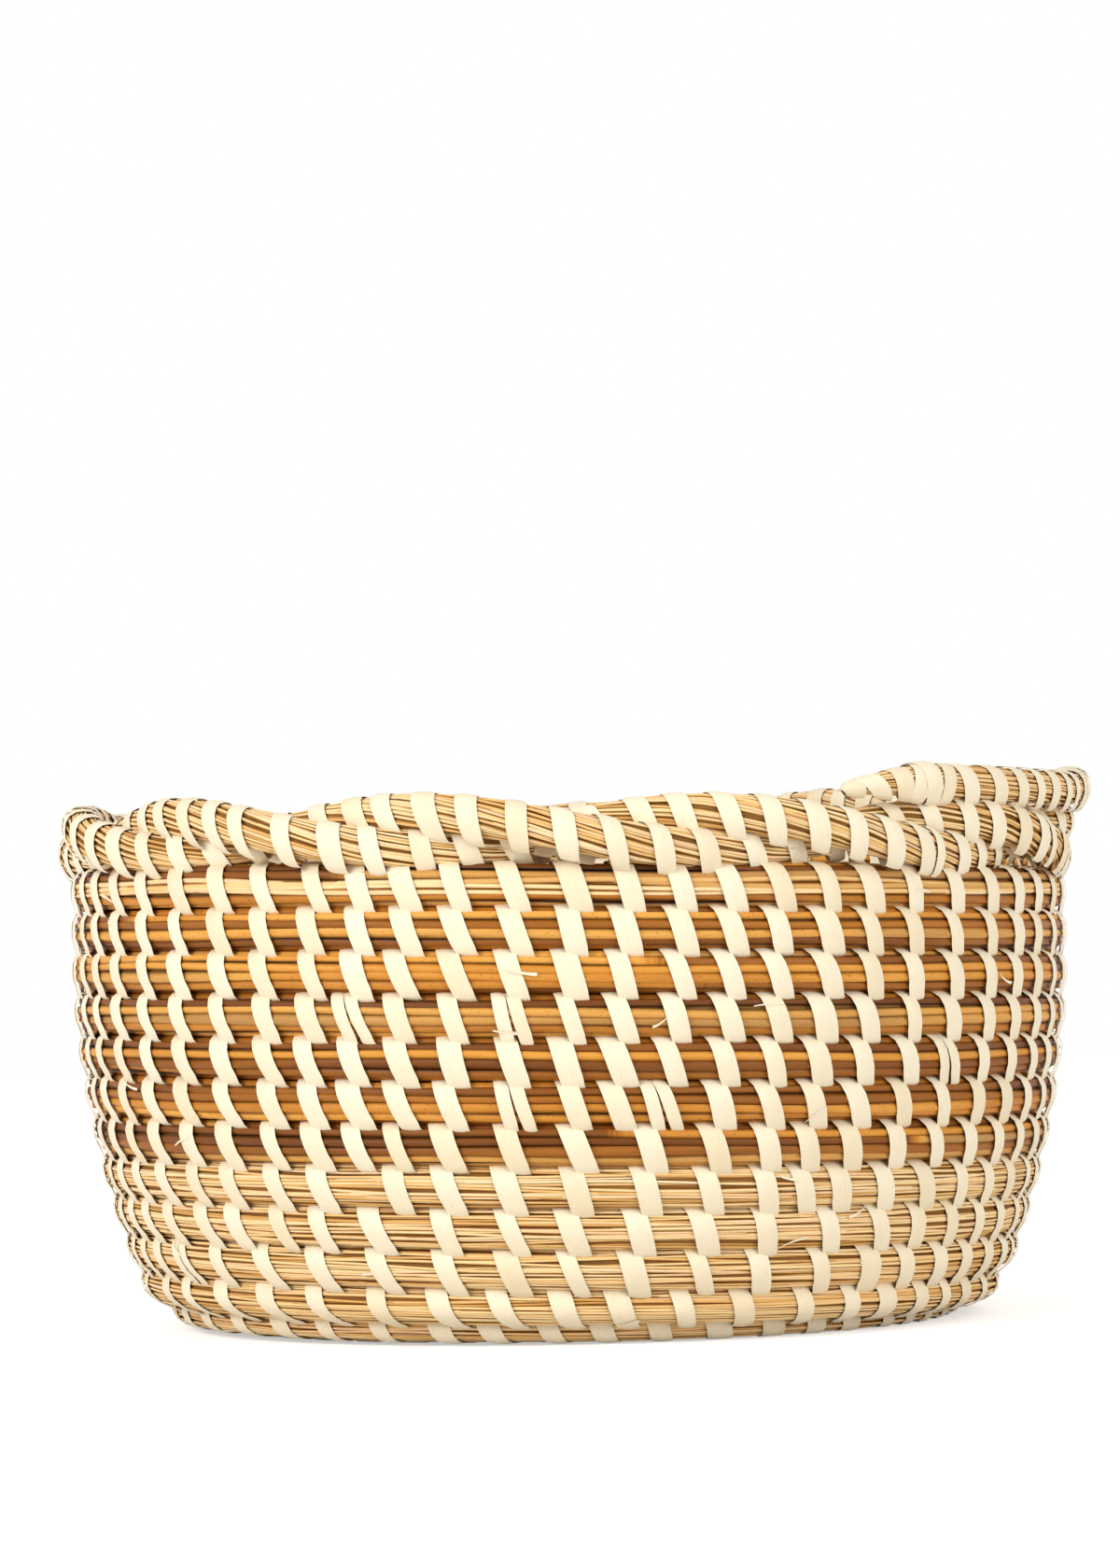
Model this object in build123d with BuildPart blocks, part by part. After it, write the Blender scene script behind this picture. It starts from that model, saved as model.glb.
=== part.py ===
from build123d import *
from math import atan2, cos, degrees, pi, radians, sin
import os

# A coiled basket: one long bundle of grass and rush, wound from the middle of the
# base up to the rim and lashed to itself with narrow strips of palm leaf.
# Millimetres, +Z up, origin under the middle of the foot that it stands on.

# --- Driving dimensions -------------------------------------------------------------
coil_diameter = 11.0  # the bundle, without its lashing
coil_pitch = 11.8  # from one turn to the next, along the basket's curve
foot_flat_radius = 107.0  # where the base ends and the corner starts
foot_ring_width = 19.0  # the part of the base that touches the table
foot_wear = 0.2  # how much of the bundle is pressed flat on the table
dome_slope = 0.06  # how fast the base rises from the foot to the middle
corner_radius = 18.0  # the tight bend from base to wall
flare_angle = 21.7  # lean of the wall where it leaves the corner, in degrees
belly_radius = 254.0  # the long gentle bend of the wall
brim_height = 24.8  # the upright part of the wall
wall_turns = 12
first_bend = 9.0  # the tightest that the bundle is bent, in the middle of the base
tip_clearance = 0.15  # between the bundle's folded tip and the strips round it

strip_thickness = 0.35  # palm leaf
strip_width = 6.4
strip_clearance = 0.1  # between a strip and what it goes round
strip_spacing = 13.2  # from one stitch to the next
stitch_opening = 35.0  # half the open side of a stitch, towards the turn before
foot_opening = 76.0  # the same on the foot, where nothing lies under the bundle
foot_opening_turn = 45.0  # the foot's open side is turned this far down

rim_strand_diameter = 8.8
rim_wave_out = 5.1  # how far the rim's strands swing in and out
rim_wave_up = 4.85  # and up and down
rim_waves = 5  # whole waves of each pass of the rim
rim_wave_start = 8.0  # degrees round from the side where the coil's turns begin
rim_wave_end = 22.0  # degrees of the way round, at its end, that don't wave
rim_step = 6.0  # degrees between points of the rim's route
rim_strip_spacing = 14.0
rim_end_turn = 56.0  # where the last stretch of the coil is bound down, in degrees
rim_end_bulge = 4.0  # how far the last stretch leans out at the side
rim_join_turn = 16.0  # each pass settles onto the one below over this many degrees
rim_bend_radius = 55.0  # of the arcs that join the straight runs of the rim's route
rim_lean = 1.0  # the rim stands this much wider than the last turn of the wall
end_wrap_count = 5
end_wrap_spacing = 7.6

# --- Worked out -----------------------------------------------------------------------
coil_radius = coil_diameter / 2
foot_height = coil_radius - foot_wear
belly_top = foot_flat_radius + corner_radius * radians(90 - flare_angle)
brim_start = belly_top + belly_radius * radians(flare_angle)
coil_end = brim_start + brim_height
half_pitch = coil_pitch / 2
half_turn_count = int((coil_end - first_bend) / half_pitch + 0.5)
coil_start = coil_end - half_turn_count * half_pitch
base_half_turns = half_turn_count - 2 * wall_turns
rim_wave_length = (360 - rim_wave_start - rim_wave_end) / rim_waves
lashed_radius = coil_radius + strip_clearance + strip_thickness


# --- The curve that the bundle's middle follows, from base to rim ----------------------
def profile(length):
    """Radius and height of the basket's curve, a given length from its middle."""
    dome_edge = foot_flat_radius - foot_ring_width
    if length < dome_edge:
        return length, foot_height + dome_slope * (dome_edge - length)
    if length < foot_flat_radius:
        return length, foot_height
    corner_middle = foot_height + corner_radius
    if length < belly_top:
        turned = (length - foot_flat_radius) / corner_radius
        radius = foot_flat_radius + corner_radius * sin(turned)
        return radius, corner_middle - corner_radius * cos(turned)
    lean = radians(flare_angle)
    belly_centre = foot_flat_radius - (belly_radius - corner_radius) * cos(lean)
    belly_middle = corner_middle + (belly_radius - corner_radius) * sin(lean)
    if length < brim_start:
        lean -= (length - belly_top) / belly_radius
        radius = belly_centre + belly_radius * cos(lean)
        return radius, belly_middle - belly_radius * sin(lean)
    return belly_centre + belly_radius, belly_middle + length - brim_start


def turn_end(index):
    """Where a half turn of the coil starts, on the X axis; the last one ends on +X."""
    radius, height = profile(coil_start + index * half_pitch)
    side = -1 if (half_turn_count - index) % 2 else 1
    return Vector(side * radius, 0, height)


class HalfTurn:
    """Half a turn of the coil, a level arc tipped up by half a pitch, clockwise."""

    def __init__(self, index):
        start = turn_end(index)
        finish = turn_end(index + 1)
        self.centre = (start + finish) / 2
        self.radius = (finish - start).length / 2
        self.outward = (start - self.centre).normalized()
        self.forward = Vector(0, -1 if start.X > 0 else 1, 0)
        self.up = self.forward.cross(self.outward)
        self.section = Plane(self.centre, x_dir=self.outward, z_dir=self.forward)
        self.axis = Axis(self.centre, -self.up)
        middle = coil_start + (index + 0.5) * half_pitch
        reach = profile(middle)
        reach_before = profile(middle - coil_pitch)
        self.slope = degrees(atan2(reach[1] - reach_before[1], reach[0] - reach_before[0]))
        self.on_foot = min(start.Z, finish.Z) < foot_height + strip_clearance + strip_thickness

    def place(self, angle):
        """The half turn's own frame, turned an angle along the coil."""
        frame = Plane(self.centre, x_dir=self.outward, z_dir=self.up)
        return frame.location * Rotation(0, 0, -angle)


def coil_piece(first, last):
    """The bundle from one half turn to another, with the foot pressed flat."""
    with BuildPart() as piece:
        for index in range(first, last):
            half = HalfTurn(index)
            with BuildSketch(half.section):
                with Locations((half.radius, 0)):
                    Circle(coil_radius)
            revolve(axis=half.axis, revolution_arc=180, clean=False)
        lowest = min(turn_end(index).Z for index in range(first, last + 1))
        if lowest < coil_radius:
            with BuildSketch(Plane.XY):
                Circle(2 * foot_flat_radius)
            extrude(amount=-coil_diameter, mode=Mode.SUBTRACT)
    return piece.part


def stitch(half, count):
    """One strip of palm leaf round the bundle, open towards the turn before."""
    opening = foot_opening if half.on_foot else stitch_opening
    middle = 180 + half.slope + (foot_opening_turn if half.on_foot else 0)
    with BuildPart() as band:
        with BuildSketch(Plane.XZ):
            with BuildLine():
                sweep_angle = 360 - 2 * opening
                outside = CenterArc((half.radius, 0), lashed_radius, middle + opening, sweep_angle)
                inner_radius = lashed_radius - strip_thickness
                inside = CenterArc((half.radius, 0), inner_radius, middle + opening, sweep_angle)
                Line(outside @ 0, inside @ 0)
                Line(outside @ 1, inside @ 1)
            make_face()
        width_angle = min(degrees(strip_width / half.radius), 90 / count)
        revolve(axis=Axis.Z, revolution_arc=width_angle)
    return band.part


def stitches(first, last):
    """The stitches of a stretch of the coil, evenly spaced along it."""
    placed = []
    for index in range(first, last):
        half = HalfTurn(index)
        count = max(2, round(pi * half.radius / strip_spacing))
        band = stitch(half, count)
        shift = (index * 0.37) % 1 * 0.5 + 0.25
        for number in range(count):
            placed.append(band.moved(half.place(180 * (number + shift) / count)))
    return Compound(children=placed)


# --- Base ---------------------------------------------------------------------------
os.makedirs("parts", exist_ok=True)

base_coil = coil_piece(0, base_half_turns)
base_coil.label = "base_coil"
export_step(base_coil, "parts/base_coil.step")

base_stitches = stitches(0, base_half_turns)
base_stitches.label = "base_stitches"
export_step(base_stitches, "parts/base_stitches.step")

start_turn = HalfTurn(0)
tip_radius = start_turn.radius - lashed_radius - tip_clearance
with BuildPart() as base_tip:
    with BuildSketch(Plane.XZ):
        with Locations((start_turn.centre.X, start_turn.centre.Z)):
            RectangleRounded(2 * tip_radius, coil_diameter, 0.9 * min(tip_radius, coil_radius))
            Rectangle(2 * tip_radius, coil_diameter, align=(Align.MAX, Align.CENTER), mode=Mode.SUBTRACT)
    revolve(axis=Axis(start_turn.centre, (0, 0, 1)))
base_tip.part.label = "base_tip"
export_step(base_tip.part, "parts/base_tip.step")

# --- Wall, one node for each turn -----------------------------------------------------
for turn in range(wall_turns):
    first_half = base_half_turns + 2 * turn
    row = coil_piece(first_half, first_half + 2)
    row.label = f"wall_coil_{turn + 1:02d}"
    export_step(row, f"parts/{row.label}.step")

    row_stitches = stitches(first_half, first_half + 2)
    row_stitches.label = f"wall_stitches_{turn + 1:02d}"
    export_step(row_stitches, f"parts/{row_stitches.label}.step")

# --- Rim: the same coil goes round twice more, the second pass waving over the first ----
rim_radius = turn_end(half_turn_count).X + rim_lean
rim_strand_radius = rim_strand_diameter / 2
rim_lashed_radius = rim_strand_radius + strip_clearance + strip_thickness
rim_seat = lashed_radius + rim_lashed_radius + rim_wave_up
strand_stack = rim_strand_diameter + 2 * (strip_clearance + strip_thickness)


def rim_middle(turned):
    """Height midway between the two passes, above the last turn of the wall."""
    last_row = turn_end(half_turn_count - 2).Z
    if turned < 180:
        return last_row + coil_pitch / 4 * (1 - cos(radians(turned))) + rim_seat
    return last_row + coil_pitch / 4 * (3 + cos(radians(turned))) + rim_seat


def rim_wave(turned):
    """How far the first pass has waved round the middle, from lowest at 0, in degrees."""
    waved = (turned - rim_wave_start) / rim_wave_length
    return 360 * min(max(waved, 0), rim_waves)


def rim_point(turned, out, height):
    """A point of the rim, clockwise round the basket from the side of the first turn."""
    angle = radians(-turned)
    return Vector((rim_radius + out) * cos(angle), (rim_radius + out) * sin(angle), height)


def first_pass(turned):
    wave = radians(rim_wave(turned) - 90)
    return rim_point(turned, rim_wave_out * cos(wave), rim_middle(turned) + rim_wave_up * sin(wave))


def second_pass(turned):
    wave = radians(rim_wave(turned) + 90)
    joining = (coil_pitch - 2 * rim_wave_up) * max(0, 1 - turned / rim_join_turn)
    bulge = rim_end_bulge * max(0, 1 - (360 - turned) / rim_wave_length)
    height = rim_middle(turned) + rim_wave_up * sin(wave) + joining
    return rim_point(turned, rim_wave_out * cos(wave) + bulge, height)


def last_stretch(turned):
    joining = (coil_pitch - strand_stack) * max(0, 1 - turned / rim_join_turn)
    bulge = rim_end_bulge * (1 - turned / rim_end_turn)
    height = rim_middle(turned) + rim_wave_up + strand_stack + joining
    return rim_point(turned, bulge, height)


def route(place, turn_count):
    """A strand's route: straight runs joined by arcs."""
    steps = round(turn_count / rim_step)
    points = [place(turn_count * step / steps) for step in range(steps + 1)]
    with BuildLine() as line:
        FilletPolyline(*points, radius=rim_bend_radius)
    return line.wire()


def strand(path):
    """A round bundle along a route."""
    with BuildPart() as piece:
        with BuildSketch(Plane(path @ 0, z_dir=path % 0)):
            Circle(rim_strand_radius)
        sweep(path=path)
    return piece.part


def ring_stitches(path, first, spacing, count):
    """Strips that go all round a strand, evenly spaced along its route."""
    with BuildPart() as band:
        with BuildSketch(Plane.XY):
            Circle(rim_lashed_radius)
            Circle(rim_lashed_radius - strip_thickness, mode=Mode.SUBTRACT)
        extrude(amount=strip_width / 2, both=True)
    places = [
        path.location_at(first + spacing * number, position_mode=PositionMode.LENGTH)
        for number in range(count)
    ]
    return Compound(children=[band.part.moved(place) for place in places])


for name, place, turn_count in (
    ("rim_first_pass", first_pass, 360),
    ("rim_second_pass", second_pass, 360),
    ("rim_last_stretch", last_stretch, rim_end_turn),
):
    path = route(place, turn_count)
    bundle = strand(path)
    bundle.label = f"{name}_coil"
    export_step(bundle, f"parts/{bundle.label}.step")

    bound = end_wrap_count * end_wrap_spacing if place is last_stretch else 0
    count = int((path.length - bound) / rim_strip_spacing)
    bands = ring_stitches(path, rim_strip_spacing / 2, rim_strip_spacing, count)
    bands.label = f"{name}_stitches"
    export_step(bands, f"parts/{bands.label}.step")

# --- The close wraps that bind the end of the coil down ---------------------------------
wraps_start = path.length - end_wrap_spacing * (end_wrap_count - 0.5)
end_wraps = ring_stitches(path, wraps_start, end_wrap_spacing, end_wrap_count)
end_wraps.label = "rim_end_wraps"
export_step(end_wraps, "parts/rim_end_wraps.step")
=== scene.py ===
import math
import random

import bpy
import numpy as np
from mathutils import Matrix, Vector


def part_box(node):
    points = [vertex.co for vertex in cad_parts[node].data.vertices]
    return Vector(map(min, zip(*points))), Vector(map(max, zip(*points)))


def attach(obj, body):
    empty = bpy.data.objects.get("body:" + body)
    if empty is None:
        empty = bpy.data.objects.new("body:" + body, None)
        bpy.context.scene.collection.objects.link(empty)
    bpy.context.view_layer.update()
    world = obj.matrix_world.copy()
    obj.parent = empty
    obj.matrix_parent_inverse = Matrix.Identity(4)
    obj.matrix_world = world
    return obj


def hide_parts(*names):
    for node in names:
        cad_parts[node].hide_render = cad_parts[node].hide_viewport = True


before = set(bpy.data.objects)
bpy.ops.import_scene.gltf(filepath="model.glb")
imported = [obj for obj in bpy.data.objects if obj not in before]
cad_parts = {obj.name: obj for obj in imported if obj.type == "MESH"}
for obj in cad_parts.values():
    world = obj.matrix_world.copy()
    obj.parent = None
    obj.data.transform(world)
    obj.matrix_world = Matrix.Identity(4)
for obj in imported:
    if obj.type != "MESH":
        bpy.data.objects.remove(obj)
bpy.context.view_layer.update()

# ------------------------------------------------------------------------------------------
# The line of the coil
# A basket of this kind is one long bundle of dry stems, wound from the middle of the base
# and sewn to itself turn by turn. Each half turn is an arc, and starts over the X axis.
# ------------------------------------------------------------------------------------------
base_low, base_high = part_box("base_coil")
top_low, top_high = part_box("wall_coil_12")
half_pitch = base_high.x + base_low.x
pitch = 2 * half_pitch
coil_radius = (top_high.z - top_low.z - pitch) / 2
wall_rows = 12
foot_ring = 0.020  # the flat ring that the basket stands on
dome_radius = 0.088  # inside it the base rises to its middle

turn_ends = [Vector((base_high.x - coil_radius, 0, base_low.z + coil_radius))]
dome = (base_high.z - coil_radius - turn_ends[0].z) / (turn_ends[0].x - foot_ring)
while abs(turn_ends[0].x) > pitch / 2:
    reach = abs(turn_ends[0].x) - half_pitch
    side = -1 if turn_ends[0].x > 0 else 1
    lift = dome * max(0, dome_radius - reach)
    turn_ends.insert(0, Vector((side * reach, 0, base_low.z + coil_radius + lift)))
base_half_turns = len(turn_ends) - 1
for row in range(1, wall_rows + 1):
    low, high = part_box(f"wall_coil_{row:02d}")
    start = turn_ends[-1]
    finish = Vector((high.x - coil_radius, 0, high.z - coil_radius))
    turn_ends.append(Vector((low.x + coil_radius, 0, (start.z + finish.z) / 2)))
    turn_ends.append(finish)


def half_turn(index, steps=48):
    """Points along half a turn, clockwise seen from above, without its last point."""
    start, finish = turn_ends[index], turn_ends[index + 1]
    centre = (start + finish) / 2
    outward = start - centre
    forward = Vector((0, -1 if start.x > 0 else 1, 0)) * outward.length
    turned = [math.pi * step / steps for step in range(steps)]
    return [centre + outward * math.cos(a) + forward * math.sin(a) for a in turned]


def coil_line(first, last):
    """The line of the coil from the start of one half turn to the start of another."""
    points = [p for index in range(first, last) for p in half_turn(index)]
    return points + [turn_ends[last]]


def line_length(points):
    return sum((b - a).length for a, b in zip(points, points[1:]))


def tilt_of_row(index):
    """The way from a half turn to the one before it: 0 straight down, -90 straight inward."""
    here = (turn_ends[index] + turn_ends[index + 1]) / 2
    radius = (turn_ends[index] - turn_ends[index + 1]).length / 2
    if index < 2:
        return math.radians(-90)
    before = (turn_ends[index - 2] + turn_ends[index - 1]) / 2
    radius_before = (turn_ends[index - 2] - turn_ends[index - 1]).length / 2
    return math.atan2(here.z - before.z, radius - radius_before) - math.pi / 2


# ------------------------------------------------------------------------------------------
# Winding a straight piece round the basket
# Each row's bundle and its strips are laid out straight along X first, as on a bench, with
# +Y the side that will face outward and +Z up. A curve then takes them round the basket.
# ------------------------------------------------------------------------------------------
def wind(piece, points):
    """The line is drawn out a step past both its ends, so that the ends come out square."""
    before = 3 * points[0] - 3 * points[1] + points[2]
    after = 3 * points[-1] - 3 * points[-2] + points[-3]
    lead = (points[0] - before).length
    reshape(piece, lambda co: co + (lead, 0, 0))
    points = [before, *points, after]
    bpy.ops.object.select_all(action="DESELECT")
    line = bpy.data.curves.new("line", "CURVE")
    line.dimensions = "3D"
    line.twist_mode = "Z_UP"
    spline = line.splines.new("POLY")
    spline.points.add(len(points) - 1)
    spline.points.foreach_set("co", [c for p in points for c in (*p, 1)])
    guide = bpy.data.objects.new("guide", line)
    bpy.context.collection.objects.link(guide)
    bend = piece.modifiers.new("bend", "CURVE")
    bend.object = guide
    bend.deform_axis = "POS_X"
    bpy.context.view_layer.objects.active = piece
    piece.select_set(True)
    bpy.ops.object.modifier_apply(modifier="bend")
    bpy.data.objects.remove(guide)
    bpy.data.curves.remove(line)


def lay_out(name, copies):
    """One mesh of many laid copies, each (points, faces, tone, run, across, finish)."""
    points, faces, tones, runs, acrosses, finishes = zip(*copies)
    firsts = np.cumsum([0] + [len(p) for p in points])
    corners = np.vstack([f + first for f, first in zip(faces, firsts)]).astype(np.int32)
    tone = np.concatenate(tones)
    finish = np.concatenate([np.full(len(f), m) for f, m in zip(faces, finishes)])
    grain = np.column_stack([np.concatenate(runs), np.concatenate(acrosses)])
    mesh = bpy.data.meshes.new(name)
    mesh.vertices.add(len(tone))
    place = np.vstack(points).astype(np.float32).ravel()
    mesh.attributes["position"].data.foreach_set("vector", place)
    mesh.loops.add(corners.size)
    mesh.attributes[".corner_vert"].data.foreach_set("value", corners.ravel())
    mesh.polygons.add(len(corners))
    mesh.polygons.foreach_set("loop_start", np.arange(0, corners.size, 4, dtype=np.int32))
    mesh.update(calc_edges=True)
    mesh.shade_smooth()
    layer = mesh.attributes.new("material_index", "INT", "FACE")
    layer.data.foreach_set("value", finish.astype(np.int32))
    layer = mesh.attributes.new("tone", "FLOAT", "POINT")
    layer.data.foreach_set("value", tone.astype(np.float32))
    layer = mesh.attributes.new("grain", "FLOAT2", "CORNER")
    layer.data.foreach_set("vector", grain[corners.ravel()].astype(np.float32).ravel())
    piece = bpy.data.objects.new(name, mesh)
    bpy.context.collection.objects.link(piece)
    return piece


def reshape(piece, change):
    """Moves a piece's points: change takes and gives back rows of x, y, z."""
    place = piece.data.attributes["position"].data
    co = np.empty(3 * len(place), np.float32)
    place.foreach_get("vector", co)
    place.foreach_set("vector", change(co.reshape(-1, 3)).astype(np.float32).ravel())
    piece.data.transform(Matrix())


# ------------------------------------------------------------------------------------------
# A stem
# A dry stem, modelled once as a short tube cut into rings: five sides for a rush, four for a
# blade of grass, twelve for the middle of a bundle, coloured dark as painted shade. Every stem
# in the basket is a copy of one, drawn out to its row's length.
# ------------------------------------------------------------------------------------------
def tube(sides, rings):
    """A tube of radius 1 along X, from 0 to 1: its points and its four-sided faces."""
    bpy.ops.object.select_all(action="DESELECT")
    bpy.ops.mesh.primitive_cylinder_add(
        vertices=sides, radius=1, depth=1, end_fill_type="NOTHING",
        location=(0.5, 0, 0), rotation=(0, math.pi / 2, 0))
    stem = bpy.context.object
    bpy.ops.object.transform_apply(location=True, rotation=True, scale=True)
    bpy.ops.object.mode_set(mode="EDIT")
    bpy.ops.mesh.select_mode(type="EDGE")
    bpy.ops.mesh.select_all(action="DESELECT")
    bpy.ops.object.mode_set(mode="OBJECT")
    for edge in stem.data.edges:
        ends = [stem.data.vertices[v].co.x for v in edge.vertices]
        edge.select = abs(ends[0] - ends[1]) > 0.5
    bpy.ops.object.mode_set(mode="EDIT")
    bpy.ops.mesh.subdivide(number_cuts=rings)
    bpy.ops.object.mode_set(mode="OBJECT")
    points = np.array([v.co for v in stem.data.vertices], float)
    faces = np.array([p.vertices for p in stem.data.polygons], int)
    bpy.data.objects.remove(stem)
    return points, faces


stem_tube = tube(5, 95)
blade_tube = tube(4, 95)
short_blade_tube = tube(4, 31)
core_tube = tube(12, 47)
least_reach = 0.0005  # a stem never lies nearer the bundle's middle than this


def lay_stem(shape, length, where, reach, turned, thickness, flat, tone, finish):
    """A stem along the bundle: reach out from its middle and turned round it, both by x."""
    points, faces = shape
    along = points[:, 0] * length
    spread = np.arctan2(points[:, 2], points[:, 1])
    out = reach(where + along)
    angle = turned(where + along)
    thick = thickness(where + along)
    radial = out + thick * np.cos(spread) * flat
    sideways = thick * np.sin(spread) / np.maximum(out, least_reach)
    laid = np.column_stack([
        along,
        radial * np.cos(angle + sideways),
        radial * np.sin(angle + sideways)])
    return laid, faces, tone(where + along), where + along, spread / (2 * math.pi) + 0.5, finish


def wander(dice, size, wave):
    """A slow drift to and fro along the coil, the same however the coil is cut into rows."""
    turn = 6.28
    parts = [(dice.uniform(0.6, 1.6) / wave, dice.uniform(0, turn), size / k) for k in (1, 2, 3)]
    return lambda x: sum(a * np.sin(turn * f * (i + 1) * x + p)
                         for i, (f, p, a) in enumerate(parts))


square = 2.5  # 2 is a round section, more is squarer


def pressed(y, z, tall):
    """A round section pressed by its neighbours: a little square, and tall times as tall."""
    spread = np.maximum(np.hypot(y, z), 1e-9)
    grow = (np.abs(y / spread) ** square + np.abs(z / spread) ** square) ** (-1 / square)
    return y * grow, z * grow * tall


def tilted(y, z, tilt):
    """A section turned to lean with its row."""
    return y * np.cos(tilt) - z * np.sin(tilt), y * np.sin(tilt) + z * np.cos(tilt)


def lengths_of_colour(dice, shortest, longest):
    """Another stem takes over every so often along the coil, each of its own colour."""
    ends = np.cumsum([-1] + [dice.uniform(shortest, longest) for _ in range(80)])
    colours = np.array([dice.random() for _ in range(82)])
    return lambda x: colours[np.searchsorted(ends, x)]


row_stations = [-90, 90, 270, 450]  # degrees along a row where its tilt is known
sunk = 0.9  # how far a stem's middle lies under the bundle's face, in its own thickness
# How grass and rush lie: drift round the bundle, lift from it, flatness, lengths of a colour.
lies = [(0.11, 0.00018, 0.70, (0.12, 0.4)),
        (0.09, 0.00012, 0.85, (0.35, 0.9))]


def bundle(name, points, where, kinds, seed, radius=coil_radius, twist=0.0, tall=1.0,
           tilts=(0, 0, 0, 0), taper=lambda x: 1):
    """A row's bundle. kinds lists (share of the way round, stems, thickness, finish, shape),
    where finish 0 is grass, 1 is rush and 2 the middle, coloured dark as painted shade."""
    length = line_length(points)
    middle, faces = core_tube
    thickest = max(kind[2] for kind in kinds)
    filled = middle * (length, radius - sunk * thickest, radius - sunk * thickest)
    round_it = np.arctan2(middle[:, 2], middle[:, 1]) / (2 * math.pi) + 0.5
    copies = [(filled, faces, np.zeros(len(filled)), where + filled[:, 0], round_it, 2)]
    for share, count, thick, finish, shape in kinds:
        for number in range(count):
            dice = random.Random(seed * 1000 + number)
            own = thick * dice.uniform(0.82, 1.2)
            base = 2 * math.pi * (share[0] + (share[1] - share[0]) * (number + 0.5) / count)
            sway, rise, flat, of_colour = lies[finish]
            drift = wander(dice, sway, 0.30)
            lift = wander(dice, rise, 0.22)
            swell = wander(dice, own * 0.10, 0.3)
            tone = lengths_of_colour(dice, *of_colour)
            copies.append(lay_stem(
                shape, length, where,
                lambda x: radius - own * sunk + lift(x),
                lambda x: base + drift(x) + twist * x,
                lambda x: own + swell(x), flat, tone, finish))
    piece = lay_out(name, copies)

    def press(co):
        tilt = np.interp(co[:, 0] / length * 360, row_stations, tilts)
        thinned = taper(co[:, 0])
        y, z = tilted(*pressed(co[:, 1], co[:, 2], tall), tilt)
        return np.column_stack([co[:, 0], y * thinned, z * thinned])

    reshape(piece, press)
    wind(piece, points)
    return piece


# ------------------------------------------------------------------------------------------
# Dry grass, rush and the painted shade between them
# Grass is straw coloured with paler and tan blades among it; rush is amber to dark
# brown, shiny and freckled. Both are coloured stem by stem, with fibres along each stem.
# ------------------------------------------------------------------------------------------
def socket(tree, name, kind, default=None, out=False):
    """A named input or output of a node group."""
    made = tree.interface.new_socket(name, in_out="OUTPUT" if out else "INPUT", socket_type=kind)
    if default is not None:
        made.default_value = default
    return made


def fibre_group():
    """Fibres along a stem or strip: fine lines, a slow drift of colour, small freckles, and
    its sides, where it turns away to its neighbours, as a mask for painted shade."""
    tree = bpy.data.node_groups.new("fibres", "ShaderNodeTree")
    socket(tree, "Lines across", "NodeSocketFloat", 9.0)
    socket(tree, "Freckle size", "NodeSocketFloat", 400.0)
    socket(tree, "Freckle share", "NodeSocketFloat", 0.62)
    socket(tree, "Line", "NodeSocketFloat", out=True)
    socket(tree, "Drift", "NodeSocketFloat", out=True)
    socket(tree, "Freckle", "NodeSocketFloat", out=True)
    socket(tree, "Side", "NodeSocketFloat", out=True)
    nodes, links = tree.nodes, tree.links
    into, out = nodes.new("NodeGroupInput"), nodes.new("NodeGroupOutput")
    grain = nodes.new("ShaderNodeUVMap")
    grain.uv_map = "grain"
    tone = nodes.new("ShaderNodeAttribute")
    tone.attribute_name = "tone"
    split = nodes.new("ShaderNodeSeparateXYZ")
    links.new(grain.outputs["UV"], split.inputs[0])
    apart = nodes.new("ShaderNodeMath")
    apart.operation = "MULTIPLY"
    apart.inputs[1].default_value = 37.0
    links.new(tone.outputs["Fac"], apart.inputs[0])

    def noise(along, across, detail, name):
        stretch = nodes.new("ShaderNodeCombineXYZ")
        for axis, source, factor in (("X", split.outputs["X"], along),
                                     ("Y", split.outputs["Y"], across)):
            scale = nodes.new("ShaderNodeMath")
            scale.operation = "MULTIPLY"
            links.new(source, scale.inputs[0])
            if isinstance(factor, str):
                links.new(into.outputs[factor], scale.inputs[1])
            else:
                scale.inputs[1].default_value = factor
            links.new(scale.outputs[0], stretch.inputs[axis])
        links.new(apart.outputs[0], stretch.inputs["Z"])
        made = nodes.new("ShaderNodeTexNoise")
        made.label = name
        made.inputs["Scale"].default_value = 1.0
        made.inputs["Detail"].default_value = detail
        links.new(stretch.outputs[0], made.inputs["Vector"])
        return made

    line = noise(45.0, "Lines across", 3.0, "lines")
    drift = noise(14.0, 0.6, 1.0, "drift")
    freckle = noise("Freckle size", 24.0, 0.0, "freckles")
    share = nodes.new("ShaderNodeMapRange")
    share.interpolation_type = "SMOOTHSTEP"
    links.new(freckle.outputs["Fac"], share.inputs["Value"])
    links.new(into.outputs["Freckle share"], share.inputs["From Min"])
    edge = nodes.new("ShaderNodeMath")
    edge.inputs[1].default_value = 0.05
    links.new(into.outputs["Freckle share"], edge.inputs[0])
    links.new(edge.outputs[0], share.inputs["From Max"])
    # A mask of the stem's sides, where it turns away to its neighbours, darkened there with painted
    # shade.
    outer = nodes.new("ShaderNodeMath")
    outer.operation = "SUBTRACT"
    outer.inputs[1].default_value = 0.5
    links.new(split.outputs["Y"], outer.inputs[0])
    off_face = nodes.new("ShaderNodeMath")
    off_face.operation = "ABSOLUTE"
    links.new(outer.outputs[0], off_face.inputs[0])
    side = nodes.new("ShaderNodeMapRange")
    side.interpolation_type = "SMOOTHSTEP"
    side.inputs["From Min"].default_value = 0.11
    side.inputs["From Max"].default_value = 0.24
    links.new(off_face.outputs[0], side.inputs["Value"])
    links.new(side.outputs["Result"], out.inputs["Side"])
    links.new(line.outputs["Fac"], out.inputs["Line"])
    links.new(drift.outputs["Fac"], out.inputs["Drift"])
    links.new(share.outputs["Result"], out.inputs["Freckle"])
    return tree


fibres = fibre_group()


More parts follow.
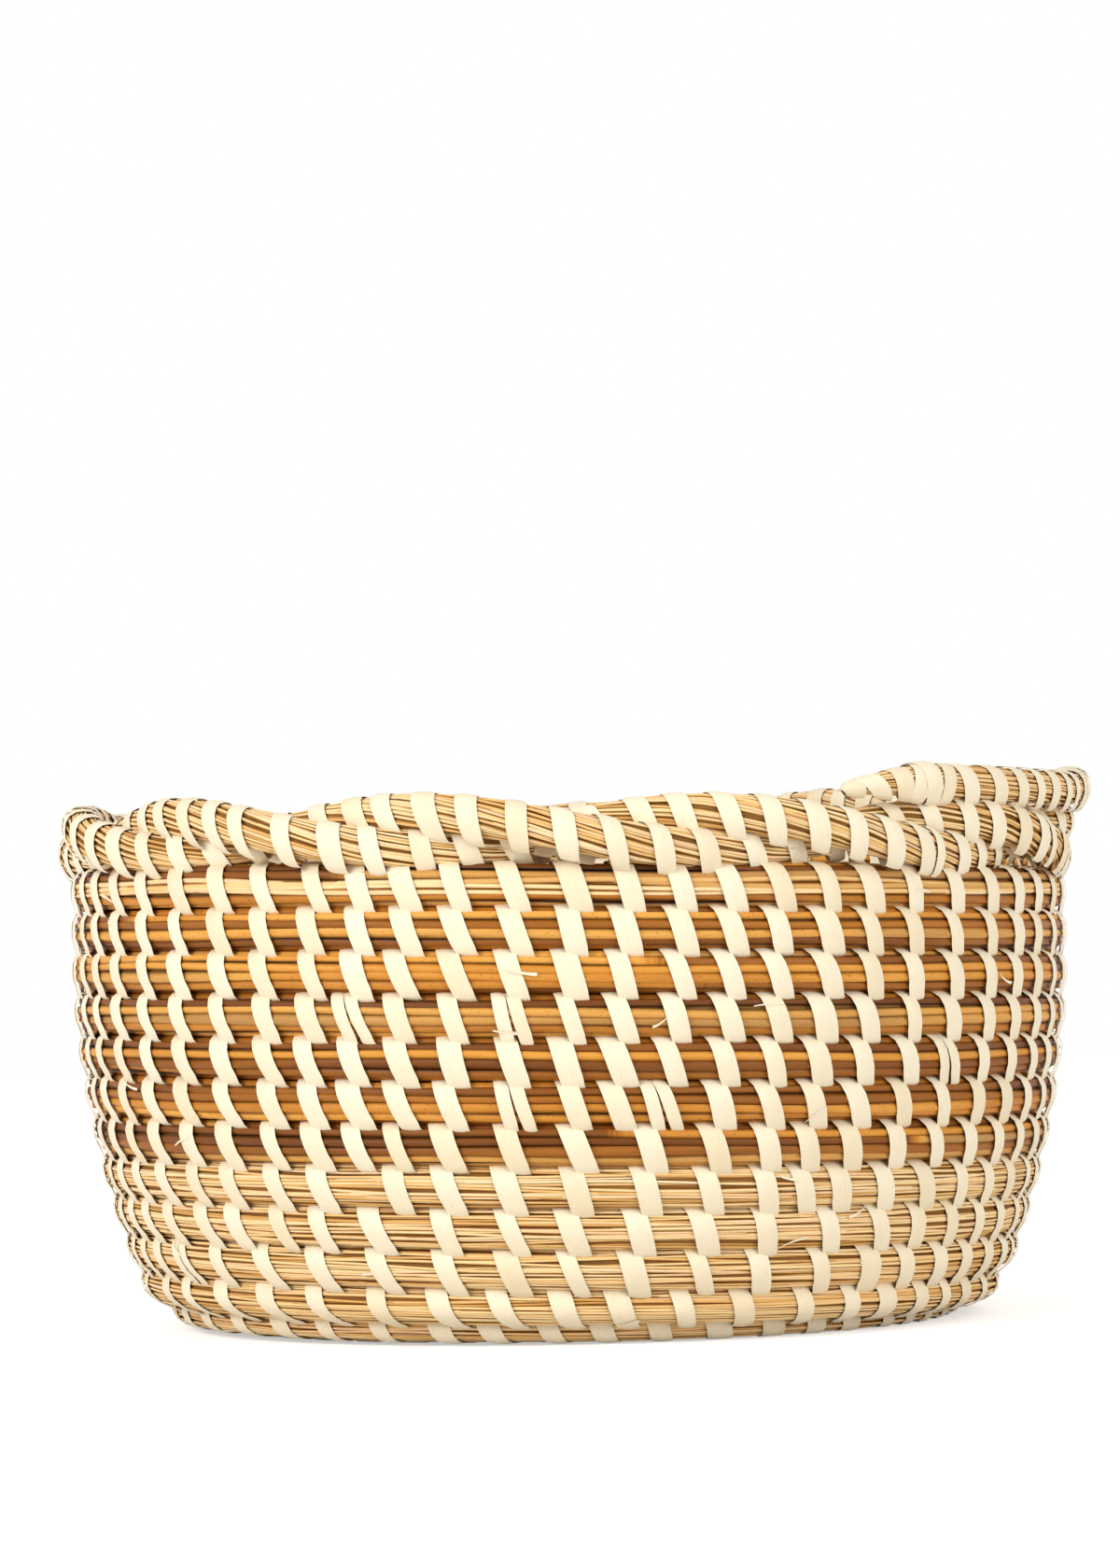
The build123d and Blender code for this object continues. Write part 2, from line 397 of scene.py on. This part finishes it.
def ramp(nodes, stops):
    """A smooth colour ramp through stops of (place, colour)."""
    made = nodes.new("ShaderNodeValToRGB")
    made.color_ramp.interpolation = "B_SPLINE"
    while len(made.color_ramp.elements) < len(stops):
        made.color_ramp.elements.new(0.5)
    for element, (place, colour) in zip(made.color_ramp.elements, stops):
        element.position = place
        element.color = (*colour, 1)
    return made


def mix(tree, factor, first, second, blend="MIX"):
    """Two colours mixed, each a socket or a plain colour."""
    made = tree.nodes.new("ShaderNodeMix")
    made.data_type = "RGBA"
    made.blend_type = blend
    for index, value in ((0, factor), (6, first), (7, second)):
        if isinstance(value, bpy.types.NodeSocket):
            tree.links.new(value, made.inputs[index])
        elif index:
            made.inputs[index].default_value = (*value, 1)
        else:
            made.inputs[index].default_value = value
    return made.outputs[2]


def number(tree, operation, first, second):
    """One step of arithmetic on two values, each a socket or a plain number."""
    made = tree.nodes.new("ShaderNodeMath")
    made.operation = operation
    for index, value in enumerate((first, second)):
        if isinstance(value, bpy.types.NodeSocket):
            tree.links.new(value, made.inputs[index])
        else:
            made.inputs[index].default_value = value
    return made.outputs[0]


def stem_material(name, stops, fibre_colour, freckle_share, freckle_colour, painted_shade_colour,
                  rough, bump, shine):
    """A dry stem: its own colour from the ramp, drifting along it, with fibres and freckles.
    Its sides, turned away between the stems, are darkened with painted shade."""
    made = bpy.data.materials.new(name)
    made.use_nodes = True
    tree = made.node_tree
    shader = tree.nodes["Principled BSDF"]
    group = tree.nodes.new("ShaderNodeGroup")
    group.node_tree = fibres
    group.inputs["Freckle size"].default_value = 1500.0
    group.inputs["Freckle share"].default_value = freckle_share
    tone = tree.nodes.new("ShaderNodeAttribute")
    tone.attribute_name = "tone"
    drift = number(tree, "SUBTRACT", group.outputs["Drift"], 0.5)
    shifted = number(tree, "ADD", tone.outputs["Fac"], number(tree, "MULTIPLY", drift, 0.55))
    colours = ramp(tree.nodes, stops)
    tree.links.new(shifted, colours.inputs["Fac"])
    lined = mix(tree, number(tree, "MULTIPLY", group.outputs["Line"], 0.55),
                colours.outputs["Color"], fibre_colour, "MULTIPLY")
    freckled = mix(tree, number(tree, "MULTIPLY", group.outputs["Freckle"], 0.7),
                   lined, freckle_colour)
    # The stem's sides are darkened here with painted shade.
    with_painted_shade = mix(tree, group.outputs["Side"], freckled, painted_shade_colour, "MULTIPLY")
    tree.links.new(with_painted_shade, shader.inputs["Base Color"])
    roughness = number(tree, "ADD", number(tree, "MULTIPLY", group.outputs["Line"], 0.25), rough)
    tree.links.new(roughness, shader.inputs["Roughness"])
    shader.inputs["Specular IOR Level"].default_value = shine
    relief = tree.nodes.new("ShaderNodeBump")
    relief.inputs["Strength"].default_value = bump
    relief.inputs["Distance"].default_value = 0.0003
    tree.links.new(group.outputs["Line"], relief.inputs["Height"])
    tree.links.new(relief.outputs["Normal"], shader.inputs["Normal"])
    return made


grass = stem_material(
    "dry_grass",
    [(0.00, (0.64, 0.36, 0.110)), (0.14, (0.86, 0.53, 0.19)), (0.34, (0.98, 0.69, 0.32)),
     (0.54, (1.00, 0.81, 0.46)), (0.74, (1.00, 0.74, 0.40)), (0.88, (0.92, 0.60, 0.33)),
     (1.00, (1.00, 0.87, 0.55))],
    # (0.54, 0.33, 0.11) is the painted shade at each blade's sides.
    (0.82, 0.66, 0.46), 0.76, (0.34, 0.17, 0.06), (0.54, 0.33, 0.11), 0.5, 0.25, 0.15)
rush = stem_material(
    "rush",
    [(0.00, (0.15, 0.044, 0.003)), (0.20, (0.32, 0.108, 0.010)), (0.42, (0.56, 0.215, 0.023)),
     (0.62, (0.80, 0.35, 0.046)), (0.80, (0.93, 0.49, 0.100)), (1.00, (0.47, 0.25, 0.08))],
    # (0.07, 0.026, 0.005) is the painted shade at each rush's sides.
    (0.66, 0.46, 0.28), 0.74, (0.16, 0.055, 0.012), (0.07, 0.026, 0.005), 0.36, 0.22, 0.25)


def painted_shade_core_material():
    """The bundle's middle, dark with painted shade, seen only as thin lines between the stems."""
    made = bpy.data.materials.new("bundle_middle_painted_shade")
    made.use_nodes = True
    tree = made.node_tree
    shader = tree.nodes["Principled BSDF"]
    group = tree.nodes.new("ShaderNodeGroup")
    group.node_tree = fibres
    group.inputs["Lines across"].default_value = 60.0
    # Both colours of the middle are painted shade, streaked with fibre lines.
    tree.links.new(mix(tree, group.outputs["Line"], (0.08, 0.028, 0.004), (0.42, 0.20, 0.055)),
                   shader.inputs["Base Color"])
    shader.inputs["Roughness"].default_value = 0.9
    shader.inputs["Specular IOR Level"].default_value = 0.1
    return made


# The bundle's middle, coloured dark as painted shade between the stems.
middle = painted_shade_core_material()


def dress(piece, node):
    """Gives a bundle its finishes and lets it stand for its node."""
    for finish in (grass, rush, middle):
        piece.data.materials.append(finish)
    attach(piece, "root")
    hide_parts(node)


# ------------------------------------------------------------------------------------------
# The base
# The coil starts in the middle of the base and winds flat, all in fine grass, rising a
# little to the middle so that the basket stands on its outer turns.
# ------------------------------------------------------------------------------------------
blade = 0.00046  # thickness, from the stem's middle
blades_in_row = 56
row_radius = 0.00565
base_wide = 1.07  # how much a turn of the base spreads to meet its neighbours
table_gap = 0.0003  # what is pressed flat under the base stays this far above the table
grass_seed = 5
wound = 0.0  # the length of coil laid so far


def flatten_foot(piece, level):
    """What would reach under the table is pressed flat."""
    reshape(piece, lambda co: np.maximum(co, (-1, -1, level)))


def row_tilts(first):
    """A turn's tilt at each of the stations along it."""
    return [tilt_of_row(max(0, min(first + k, len(turn_ends) - 2))) for k in (-1, 0, 1, 2)]


def join_turns(turns, name):
    """The turns of the base made one piece."""
    bpy.ops.object.select_all(action="DESELECT")
    for turn in turns:
        turn.select_set(True)
    bpy.context.view_layer.objects.active = turns[0]
    bpy.ops.object.join()
    joined = bpy.context.object
    joined.name = name
    return joined


base_parts = []
for first in range(0, base_half_turns, 2):
    last = min(first + 2, base_half_turns)
    line = coil_line(first, last)
    blades = [((0, 1), blades_in_row, blade, 0, tube(4, 19 + 2 * first))]
    base_parts.append(bundle("base_turn", line, wound, blades, grass_seed, radius=row_radius,
                             tall=base_wide, tilts=row_tilts(first)))
    wound += line_length(line)
base = join_turns(base_parts, "base_bundle")
flatten_foot(base, table_gap)
dress(base, "base_coil")
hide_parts("base_tip")

# ------------------------------------------------------------------------------------------
# The wall
# Twelve turns of the coil: five of fine grass, then seven of rush, the last one with some
# grass laid in again.
# ------------------------------------------------------------------------------------------
stem = 0.00142  # thickness of a rush, from its middle
row_tall = 1.09  # how much a row spreads to meet those above and below
rush_seed = 11
first_rush_row = 6
all_grass = [((0, 1), blades_in_row, blade, 0, blade_tube)]
all_rush = [((0, 1), 13, stem, 1, stem_tube)]
mixed = [((-0.060, 0.050), 4, 0.00085, 0, blade_tube), ((0.055, 0.935), 11, stem, 1, stem_tube)]
for row in range(1, wall_rows + 1):
    first = base_half_turns + 2 * (row - 1)
    line = coil_line(first, first + 2)
    of_grass = row < first_rush_row
    kinds = all_grass if of_grass else all_rush if row < wall_rows else mixed
    turn = bundle(f"wall_bundle_{row:02d}", line, wound, kinds, grass_seed if of_grass else rush_seed,
                  radius=row_radius, tall=row_tall, tilts=row_tilts(first))
    wound += line_length(line)
    if row == 1:
        flatten_foot(turn, table_gap)
    dress(turn, f"wall_coil_{row:02d}")

# ------------------------------------------------------------------------------------------
# The palm strips
# Each turn is sewn to the one before it with strips of pale palm leaf. A strip comes up out
# of the turn below, leans over the outside of the bundle, and goes down again inside.
# ------------------------------------------------------------------------------------------
strip_width = 0.0060
strip_over = 0.00040  # how far a strip stands above the bundle
strip_crown = 0.00028  # how much higher its middle is than its edges
strip_edge = 0.00006  # how far its edges sink between the stems
strip_end = 0.006  # the length over which a strip narrows and slews at its ends
split_share = 0.03  # how many of the strips are two narrow ones
split_width = 0.0038
split_apart = 0.0022  # each of the two, from their middle
strip_table_gap = 0.0001


def palm_material():
    """Pale dry palm leaf, streaked lengthwise, with few freckles."""
    made = bpy.data.materials.new("palm_strip")
    made.use_nodes = True
    tree = made.node_tree
    shader = tree.nodes["Principled BSDF"]
    group = tree.nodes.new("ShaderNodeGroup")
    group.node_tree = fibres
    group.inputs["Lines across"].default_value = 24.0
    group.inputs["Freckle share"].default_value = 0.74
    tone = tree.nodes.new("ShaderNodeAttribute")
    tone.attribute_name = "tone"
    drift = number(tree, "SUBTRACT", group.outputs["Drift"], 0.5)
    shifted = number(tree, "ADD", tone.outputs["Fac"], number(tree, "MULTIPLY", drift, 0.5))
    colours = ramp(tree.nodes, [(0.0, (0.88, 0.745, 0.51)), (0.25, (0.915, 0.80, 0.58)),
                                (0.6, (0.93, 0.82, 0.61)), (1.0, (0.94, 0.84, 0.635))])
    tree.links.new(shifted, colours.inputs["Fac"])
    lined = mix(tree, number(tree, "MULTIPLY", group.outputs["Line"], 0.35),
                colours.outputs["Color"], (0.86, 0.78, 0.66), "MULTIPLY")
    freckled = mix(tree, number(tree, "MULTIPLY", group.outputs["Freckle"], 0.3),
                   lined, (0.62, 0.42, 0.22))
    tree.links.new(freckled, shader.inputs["Base Color"])
    shader.inputs["Specular IOR Level"].default_value = 0.3
    tree.links.new(number(tree, "ADD", number(tree, "MULTIPLY", group.outputs["Line"], 0.2), 0.42),
                   shader.inputs["Roughness"])
    relief = tree.nodes.new("ShaderNodeBump")
    relief.inputs["Strength"].default_value = 0.35
    relief.inputs["Distance"].default_value = 0.0003
    tree.links.new(group.outputs["Line"], relief.inputs["Height"])
    tree.links.new(relief.outputs["Normal"], shader.inputs["Normal"])
    return made


palm = palm_material()


def flat_strip(lengths, widths):
    """A flat strip from 0 to 1 along X and one wide along Y: its points and its faces."""
    bpy.ops.object.select_all(action="DESELECT")
    bpy.ops.mesh.primitive_grid_add(x_subdivisions=lengths, y_subdivisions=widths, size=1,
                                    location=(0.5, 0, 0))
    strip = bpy.context.object
    bpy.ops.object.transform_apply(location=True, rotation=True, scale=True)
    points = np.array([v.co for v in strip.data.vertices], float)
    faces = np.array([p.vertices for p in strip.data.polygons], int)
    bpy.data.objects.remove(strip)
    return points, faces


round_steps = 10
from_below = -18  # degrees round the section where a strip starts to follow it
round_by = 216


def way_round(radius, tall, tail):
    """A strip's way in the bundle's section, from its tail outside, over, to the one inside."""
    way = [(y / 1000, z / 1000) for y, z in tail]
    for step in range(round_steps + 1):
        turned = math.radians(from_below + round_by * step / round_steps)
        y, z = pressed(radius * math.cos(turned), radius * math.sin(turned), tall)
        way.append((float(y), float(z)))
    return way + [(-y, z) for y, z in way[len(tail) - 1::-1]]


stitch_way = way_round(row_radius + strip_over, row_tall,
                       [(1.6, -8.6), (3.5, -7.9), (4.75, -6.7), (5.25, -4.3)])
stitch_strip = flat_strip(len(stitch_way) - 1, 3)


def sew(place, way, shape, width, lean, tone, tilt, skew=0.0, drop=0.0):
    """One strip round the bundle at a place along it, following a way in its section."""
    points, faces = shape
    way = np.array(way)
    runs = np.concatenate([[0], np.cumsum(np.hypot(*np.diff(way, axis=0).T))])
    station = np.rint(points[:, 0] * (len(way) - 1)).astype(int)
    across = points[:, 1]
    ahead = np.gradient(way, axis=0)
    normal = np.column_stack([ahead[:, 1], -ahead[:, 0]])
    normal /= np.linalg.norm(normal, axis=1)[:, None]
    arch = strip_crown * (1 - (2.0 * np.abs(across)) ** 2.5) - strip_edge
    middle = runs[np.argmax(way[:, 0])]
    top = runs[np.argmax(way[:, 1])]
    run = runs[station]
    slant = np.where(run < top, (run - middle) * lean, (top - middle) * lean + (run - top) * 0.12)
    at_start = np.clip((strip_end - run) / strip_end, 0, 1)
    end = at_start - np.clip((run - runs[-1] + strip_end) / strip_end, 0, 1)
    narrow = 1 - 0.16 * np.abs(end)
    y = way[station, 0] + normal[station, 0] * arch + ahead[station, 0] * across * skew * end
    z = way[station, 1] + normal[station, 1] * arch + ahead[station, 1] * across * skew * end
    z -= drop * np.abs(end)
    x = place + slant + across * width * narrow
    laid = np.column_stack([x, y * math.cos(tilt) - z * math.sin(tilt),
                            y * math.sin(tilt) + z * math.cos(tilt)])
    return laid, faces, np.full(len(laid), tone), run, across + 0.5, 0


splinter_strip = flat_strip(6, 1)


def splinter(place, length, tilt, dice):
    """A thin splinter of palm that came away from a strip and lies along the bundle."""
    points, faces = splinter_strip
    run, across = points[:, 0], points[:, 1]
    out = row_radius + strip_over + 0.0002 + length * dice.uniform(0.05, 0.2) * run ** 2
    angle = math.radians(dice.uniform(-40, 35)) + math.radians(dice.uniform(-35, 35)) * run ** 1.6
    width = dice.uniform(0.0006, 0.0013) * (1 - 0.6 * run)
    y = out * np.cos(angle) + across * width * np.sin(angle)
    z = out * np.sin(angle) - across * width * np.cos(angle)
    y, z = tilted(*pressed(y, z, row_tall), tilt)
    laid = np.column_stack([place + length * run, y, z])
    tone = np.full(len(laid), dice.random())
    return laid, faces, tone, length * run, across + 0.5, 0


strip_spacing = 0.0126
spacing_change = 0.0018  # how much wider the strips stand on one side of the basket
widest_at = 115  # degrees
wide_gap = 1.34  # spacings, past which one more strip is sewn in
least_gap = 0.0098
row_shift = 0.0004  # each turn's strips stand a little behind those below


def stitch_places(before, circumference, dice):
    """Where a turn's stitches stand, in degrees: each over one of the turn before, with one
    more where two stand wide apart, and their gaps then evened out a little."""
    degree = circumference / 360
    places = sorted(here - row_shift / degree + dice.gauss(0, 0.0007) / degree for here in before)
    filled = []
    for here, after in zip(places, places[1:] + [places[0] + 360]):
        spacing = strip_spacing + spacing_change * math.cos(math.radians(here - widest_at))
        filled.append(here)
        if (after - here) * degree > wide_gap * spacing:
            filled.append((here + after) / 2 + dice.gauss(0, 0.0006) / degree)
    kept = [filled[0]]
    for here in filled[1:]:
        if (here - kept[-1]) * degree > least_gap:
            kept.append(here)
    around = [kept[-1] - 360] + kept + [kept[0] + 360]
    return [(0.7 * here + 0.15 * (last + after)) % 360
            for last, here, after in zip(around, around[1:], around[2:])]


def stitched_turn(name, first, places, dice, level=None, splinters=0):
    """All the strips of one turn of the coil, and the splinters that came away from them."""
    before = line_length(coil_line(first - 1, first))
    last = min(first + 3, len(turn_ends) - 1)
    line = coil_line(first - 1, last)
    length = line_length(coil_line(first, first + 2))
    tilts = row_tilts(first)
    copies = []
    for here in places:
        x = before + length * here / 360
        tilt = float(np.interp(here, row_stations, tilts))
        tone = dice.random()
        width = strip_width * dice.gauss(1, 0.09)
        lean = dice.gauss(0.31, 0.04)
        skew = dice.uniform(-0.5, 0.5)
        drop = dice.gauss(0, 0.0004)
        if dice.random() < split_share:
            for side in (-1, 1):
                copies.append(sew(x + side * split_apart, stitch_way, stitch_strip, split_width,
                                  lean - side * 0.04, dice.random(), tilt, skew=skew, drop=drop))
        else:
            copies.append(sew(x, stitch_way, stitch_strip, width, lean, tone, tilt,
                              skew=skew, drop=drop))
    for _ in range(splinters):
        here = dice.uniform(10, 350)
        x = before + length * here / 360
        tilt = float(np.interp(here, row_stations, tilts))
        copies.append(splinter(x, dice.choice((-1, 1)) * dice.uniform(0.005, 0.011), tilt, dice))
    piece = lay_out(name, copies)
    wind(piece, line)
    if level is not None:
        flatten_foot(piece, level)
    piece.data.materials.append(palm)
    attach(piece, "root")
    return piece


sewing = random.Random(21)
places = [0.0, 120.0, 240.0]
joint_clear = 0.0085  # round a change of stems, which one strip covers by itself
base_turns = []
for first in range(1, base_half_turns, 2):
    circumference = line_length(coil_line(first, first + 2))
    places = sorted(stitch_places(places, circumference, sewing))
    on_base = [here for here in places if here < 180 * (base_half_turns - first)]
    base_turns.append(stitched_turn("base_turn_strips", first, on_base, sewing))
base_strips = join_turns(base_turns, "base_strips")
flatten_foot(base_strips, strip_table_gap)
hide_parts("base_stitches")

places = sorted((here + 180 * base_half_turns - 180) % 360 for here in places)
for row in range(1, wall_rows + 1):
    first = base_half_turns + 2 * (row - 1)
    circumference = line_length(coil_line(first, first + 2))
    places = stitch_places(places, circumference, sewing)
    if row in (first_rush_row, wall_rows):
        clear = 360 * joint_clear / circumference
        places = [0.0] + [here for here in places if clear < here < 360 - clear]
    places = sorted(places)
    turn = stitched_turn(f"wall_strips_{row:02d}", first, places, sewing,
                         level=strip_table_gap if row == 1 else None, splinters=4)
    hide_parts(f"wall_stitches_{row:02d}")

# ------------------------------------------------------------------------------------------
# The rim
# The same coil goes round twice more, in twisted grass alone. The two passes wave over and
# under each other all the way round, each lashed with strips of its own.
# ------------------------------------------------------------------------------------------
rim_radius = turn_ends[-1].x + 0.001
rim_strand = 0.0044
rim_wave_out = 0.0051
rim_wave_up = 0.00485
rim_waves = 5
rim_wave_length = 66  # degrees
rim_waves_from = 8
rim_seat = coil_radius + rim_strand + rim_wave_up
rim_bundle = 0.0054
rim_bulge = 0.0080  # how far the second pass leans out before the last stretch starts
joint_bulge = rim_bulge / 3
joint_length = 25  # degrees over which both lean out where one pass ends and the next starts
rim_settles = 16  # degrees over which a new pass comes down to its level


def rim_middle(turned):
    """The height of the line between the two passes, which climbs with the last turn."""
    last_row = turn_ends[-3].z
    if turned < 180:
        return last_row + pitch / 4 * (1 - math.cos(math.radians(turned))) + rim_seat
    return last_row + pitch / 4 * (3 + math.cos(math.radians(turned))) + rim_seat


def rim_wave(turned):
    """How far the first pass has waved: its waves one after another, then level."""
    waved = (turned - rim_waves_from) / rim_wave_length
    return math.radians(360 * min(max(waved, 0), rim_waves))


def rim_point(turned, out, height):
    """A place on the rim: degrees clockwise from +X, how far out of its circle, and height."""
    angle = math.radians(-turned)
    reach = rim_radius + out
    return Vector((reach * math.cos(angle), reach * math.sin(angle), height))


def first_pass(turned):
    """The first strand of the rim at a place round it."""
    wave = rim_wave(turned) - math.pi / 2
    bulge = joint_bulge * max(0, 1 - (360 - turned) / joint_length)
    return rim_point(turned, rim_wave_out * math.cos(wave) + bulge,
                     rim_middle(turned) + rim_wave_up * math.sin(wave))


def second_pass(turned):
    """The other strand, half a wave away from the first, from where that one ends."""
    wave = rim_wave(turned) + math.pi / 2
    joining = (pitch - 2 * rim_wave_up) * max(0, 1 - turned / rim_settles)
    bulge = rim_bulge * max(0, 1 - (360 - turned) / rim_wave_length)
    bulge += joint_bulge * max(0, 1 - turned / joint_length)
    return rim_point(turned, rim_wave_out * math.cos(wave) + bulge,
                     rim_middle(turned) + rim_wave_up * math.sin(wave) + joining)


rim_way = way_round(rim_bundle + strip_over, 1.0,
                    [(1.4, -7.8), (2.9, -7.0), (4.1, -5.4), (5.0, -3.6)])
lashing = random.Random(8)
narrow_strip = 0.0036
narrow_step = 0.0062
lashing_step = 0.0125


def lash(name, line, start, end, node, slim=None):
    """Strips round a strand of the rim, from one place along it to another."""
    copies = []
    x = start
    while x < end:
        narrow = lashing.random() < 0.1
        width = narrow_strip if narrow else strip_width * lashing.gauss(1, 0.08)
        copies.append(sew(x, rim_way, stitch_strip, width, lashing.gauss(0.34, 0.05),
                          lashing.random(), 0.0))
        x += narrow_step if narrow else lashing.gauss(lashing_step, 0.0011)
    piece = lay_out(name, copies)
    if slim:
        reshape(piece, slim)
    wind(piece, line)
    piece.data.materials.append(palm)
    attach(piece, "root")
    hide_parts(node)


rim_blades = 44
rim_blade = 0.00047
rim_grass = [((0, 1), rim_blades, rim_blade, 0, blade_tube)]
rim_twist = 30.0  # radians a metre
rim_seed = 17
bare_end = 0.004  # a strand's end, past its last strip
for name, place in (("rim_first_pass", first_pass), ("rim_second_pass", second_pass)):
    line = [place(turned) for turned in range(0, 361, 2)]
    strand = bundle(f"{name}_bundle", line, wound, rim_grass, rim_seed,
                    radius=rim_bundle, twist=rim_twist)
    dress(strand, f"{name}_coil")
    length = line_length(line)
    lash(f"{name}_strips", line, bare_end, length - bare_end, f"{name}_stitches")
    wound += length

# ------------------------------------------------------------------------------------------
# The end of the coil
# The last stretch lies on top of the rim, and thins out where it is bound down with close
# wraps of palm.
# ------------------------------------------------------------------------------------------
strand_stack = 2 * (rim_strand + 0.00045)  # a strand with its strips lies on another
end_turn = 58  # degrees along the rim where the coil ends
end_sinks = 0.0030  # how far its end is pulled down
sinks_over = 12
end_twist = 8.0
thin_from = 0.028
slim_share = 0.88
tip_share = 0.30
tip_length = 0.0015


def last_stretch(turned):
    """The end of the coil on top of the rim, leaning back over it as it goes."""
    joining = (pitch - strand_stack) * max(0, 1 - turned / rim_settles)
    sinking = end_sinks * max(0, 1 - (end_turn - turned) / sinks_over) ** 2
    height = rim_middle(turned) + rim_wave_up + strand_stack + joining - sinking
    return rim_point(turned, rim_bulge * (1 - turned / end_turn), height)


line = [last_stretch(turned) for turned in range(0, end_turn + 1)]
length = line_length(line)


def thinning(x):
    """The bundle is a little thinner than the rim's, thins again to its tip and closes."""
    slim = slim_share + (1 - slim_share) * np.clip(1 - x / thin_from, 0, 1)
    left = np.clip((length - x) / thin_from, 0, 1)
    closing = np.clip((length - x) / tip_length, 0.02, 1)
    return slim * (tip_share + (1 - tip_share) * left ** 0.9) * closing


def slim_down(co):
    """Strips drawn in to follow the thinning bundle."""
    thin = thinning(co[:, 0])
    return np.column_stack([co[:, 0], co[:, 1] * thin, co[:, 2] * thin])


end_grass = [((0, 1), rim_blades, rim_blade, 0, short_blade_tube)]
strand = bundle("rim_end_bundle", line, wound, end_grass, rim_seed,
                radius=rim_bundle, twist=end_twist, taper=thinning)
dress(strand, "rim_last_stretch_coil")
lash("rim_end_strips", line, bare_end, length - thin_from - bare_end, "rim_last_stretch_stitches",
     slim=slim_down)

wraps = []
wrap_tail = [(1.4, -7.6), (2.9, -7.0), (4.1, -5.6), (5.0, -3.8)]
for from_end, width, lean, over in ((0.0034, 0.0064, 0.05, 0.0006),
                                    (0.0098, 0.0068, 0.36, 0.0008),
                                    (0.0190, 0.0058, 0.16, 0.0004),
                                    (0.0250, 0.0056, -0.10, 0.0006),
                                    (0.0285, 0.0058, 0.20, 0.0010),
                                    (0.0350, 0.0048, -0.02, 0.0004)):
    way = way_round(rim_bundle + over, 1.0, wrap_tail)
    wraps.append(sew(length - from_end, way, stitch_strip, width, lean, lashing.random(),
                     0.0, skew=lashing.uniform(-0.5, 0.5)))
wraps = lay_out("rim_end_binding", wraps)
reshape(wraps, slim_down)
wind(wraps, line)
wraps.data.materials.append(palm)
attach(wraps, "root")
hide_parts("rim_end_wraps")

# ------------------------------------------------------------------------------------------
# The table, the light and the camera
# A pale table under plain soft light from both sides. The table and the world look brighter
# to the camera and in reflections than the light that they throw on the basket.
# ------------------------------------------------------------------------------------------
def seen_plainly(tree):
    """1 to the camera, in reflections and through glass, otherwise 0."""
    path = tree.nodes.new("ShaderNodeLightPath")
    mirrored = number(tree, "MAXIMUM", path.outputs["Is Glossy Ray"],
                      path.outputs["Is Transmission Ray"])
    return number(tree, "MAXIMUM", path.outputs["Is Camera Ray"], mirrored)


bpy.ops.object.select_all(action="DESELECT")
bpy.ops.mesh.primitive_plane_add(size=8, location=(0, 0, 0))
table = bpy.context.object
table.name = "table"
surface = bpy.data.materials.new("table")
surface.use_nodes = True
tree = surface.node_tree
paint = tree.nodes["Principled BSDF"]
paint.inputs["Base Color"].default_value = (0.85, 0.85, 0.85, 1)
paint.inputs["Roughness"].default_value = 0.9
paint.inputs["Specular IOR Level"].default_value = 0.1
paint.inputs["Emission Color"].default_value = (1, 1, 1, 1)
glow = number(tree, "MULTIPLY", seen_plainly(tree), 0.5)
tree.links.new(glow, paint.inputs["Emission Strength"])
table.data.materials.append(surface)

world = bpy.data.worlds.new("world")
world.use_nodes = True
bpy.context.scene.world = world
sky = world.node_tree
background = sky.nodes["Background"]
strength = sky.nodes.new("ShaderNodeMapRange")
sky.links.new(seen_plainly(sky), strength.inputs["Value"])
strength.inputs["To Min"].default_value = 0.60
strength.inputs["To Max"].default_value = 1.0
background.inputs["Color"].default_value = (1, 1, 1, 1)
sky.links.new(strength.outputs["Result"], background.inputs["Strength"])

basket_middle = Vector((0, 0, 0.08))
for name, place, size, power in (("key", (-1.3, -1.3, 0.9), 0.9, 21.3),
                                 ("fill", (1.25, -1.35, 0.7), 1.2, 12.5)):
    light = bpy.data.lights.new(name, "AREA")
    light.size = size
    light.energy = power
    lamp = bpy.data.objects.new(name, light)
    lamp.location = place
    towards = basket_middle - Vector(place)
    lamp.rotation_euler = towards.to_track_quat("-Z", "Y").to_euler()
    bpy.context.collection.objects.link(lamp)

lens = bpy.data.cameras.new("camera")
lens.lens = 120.4
lens.clip_end = 50
camera = bpy.data.objects.new("camera", lens)
camera.location = (-0.0017, -1.565, 0.105)
camera.rotation_euler = (Matrix.Rotation(math.radians(91.97), 4, "X")
                         @ Matrix.Rotation(math.radians(-1.25), 4, "Z")).to_euler()
bpy.context.collection.objects.link(camera)
bpy.context.scene.camera = camera
bpy.context.scene.view_settings.view_transform = "Standard"
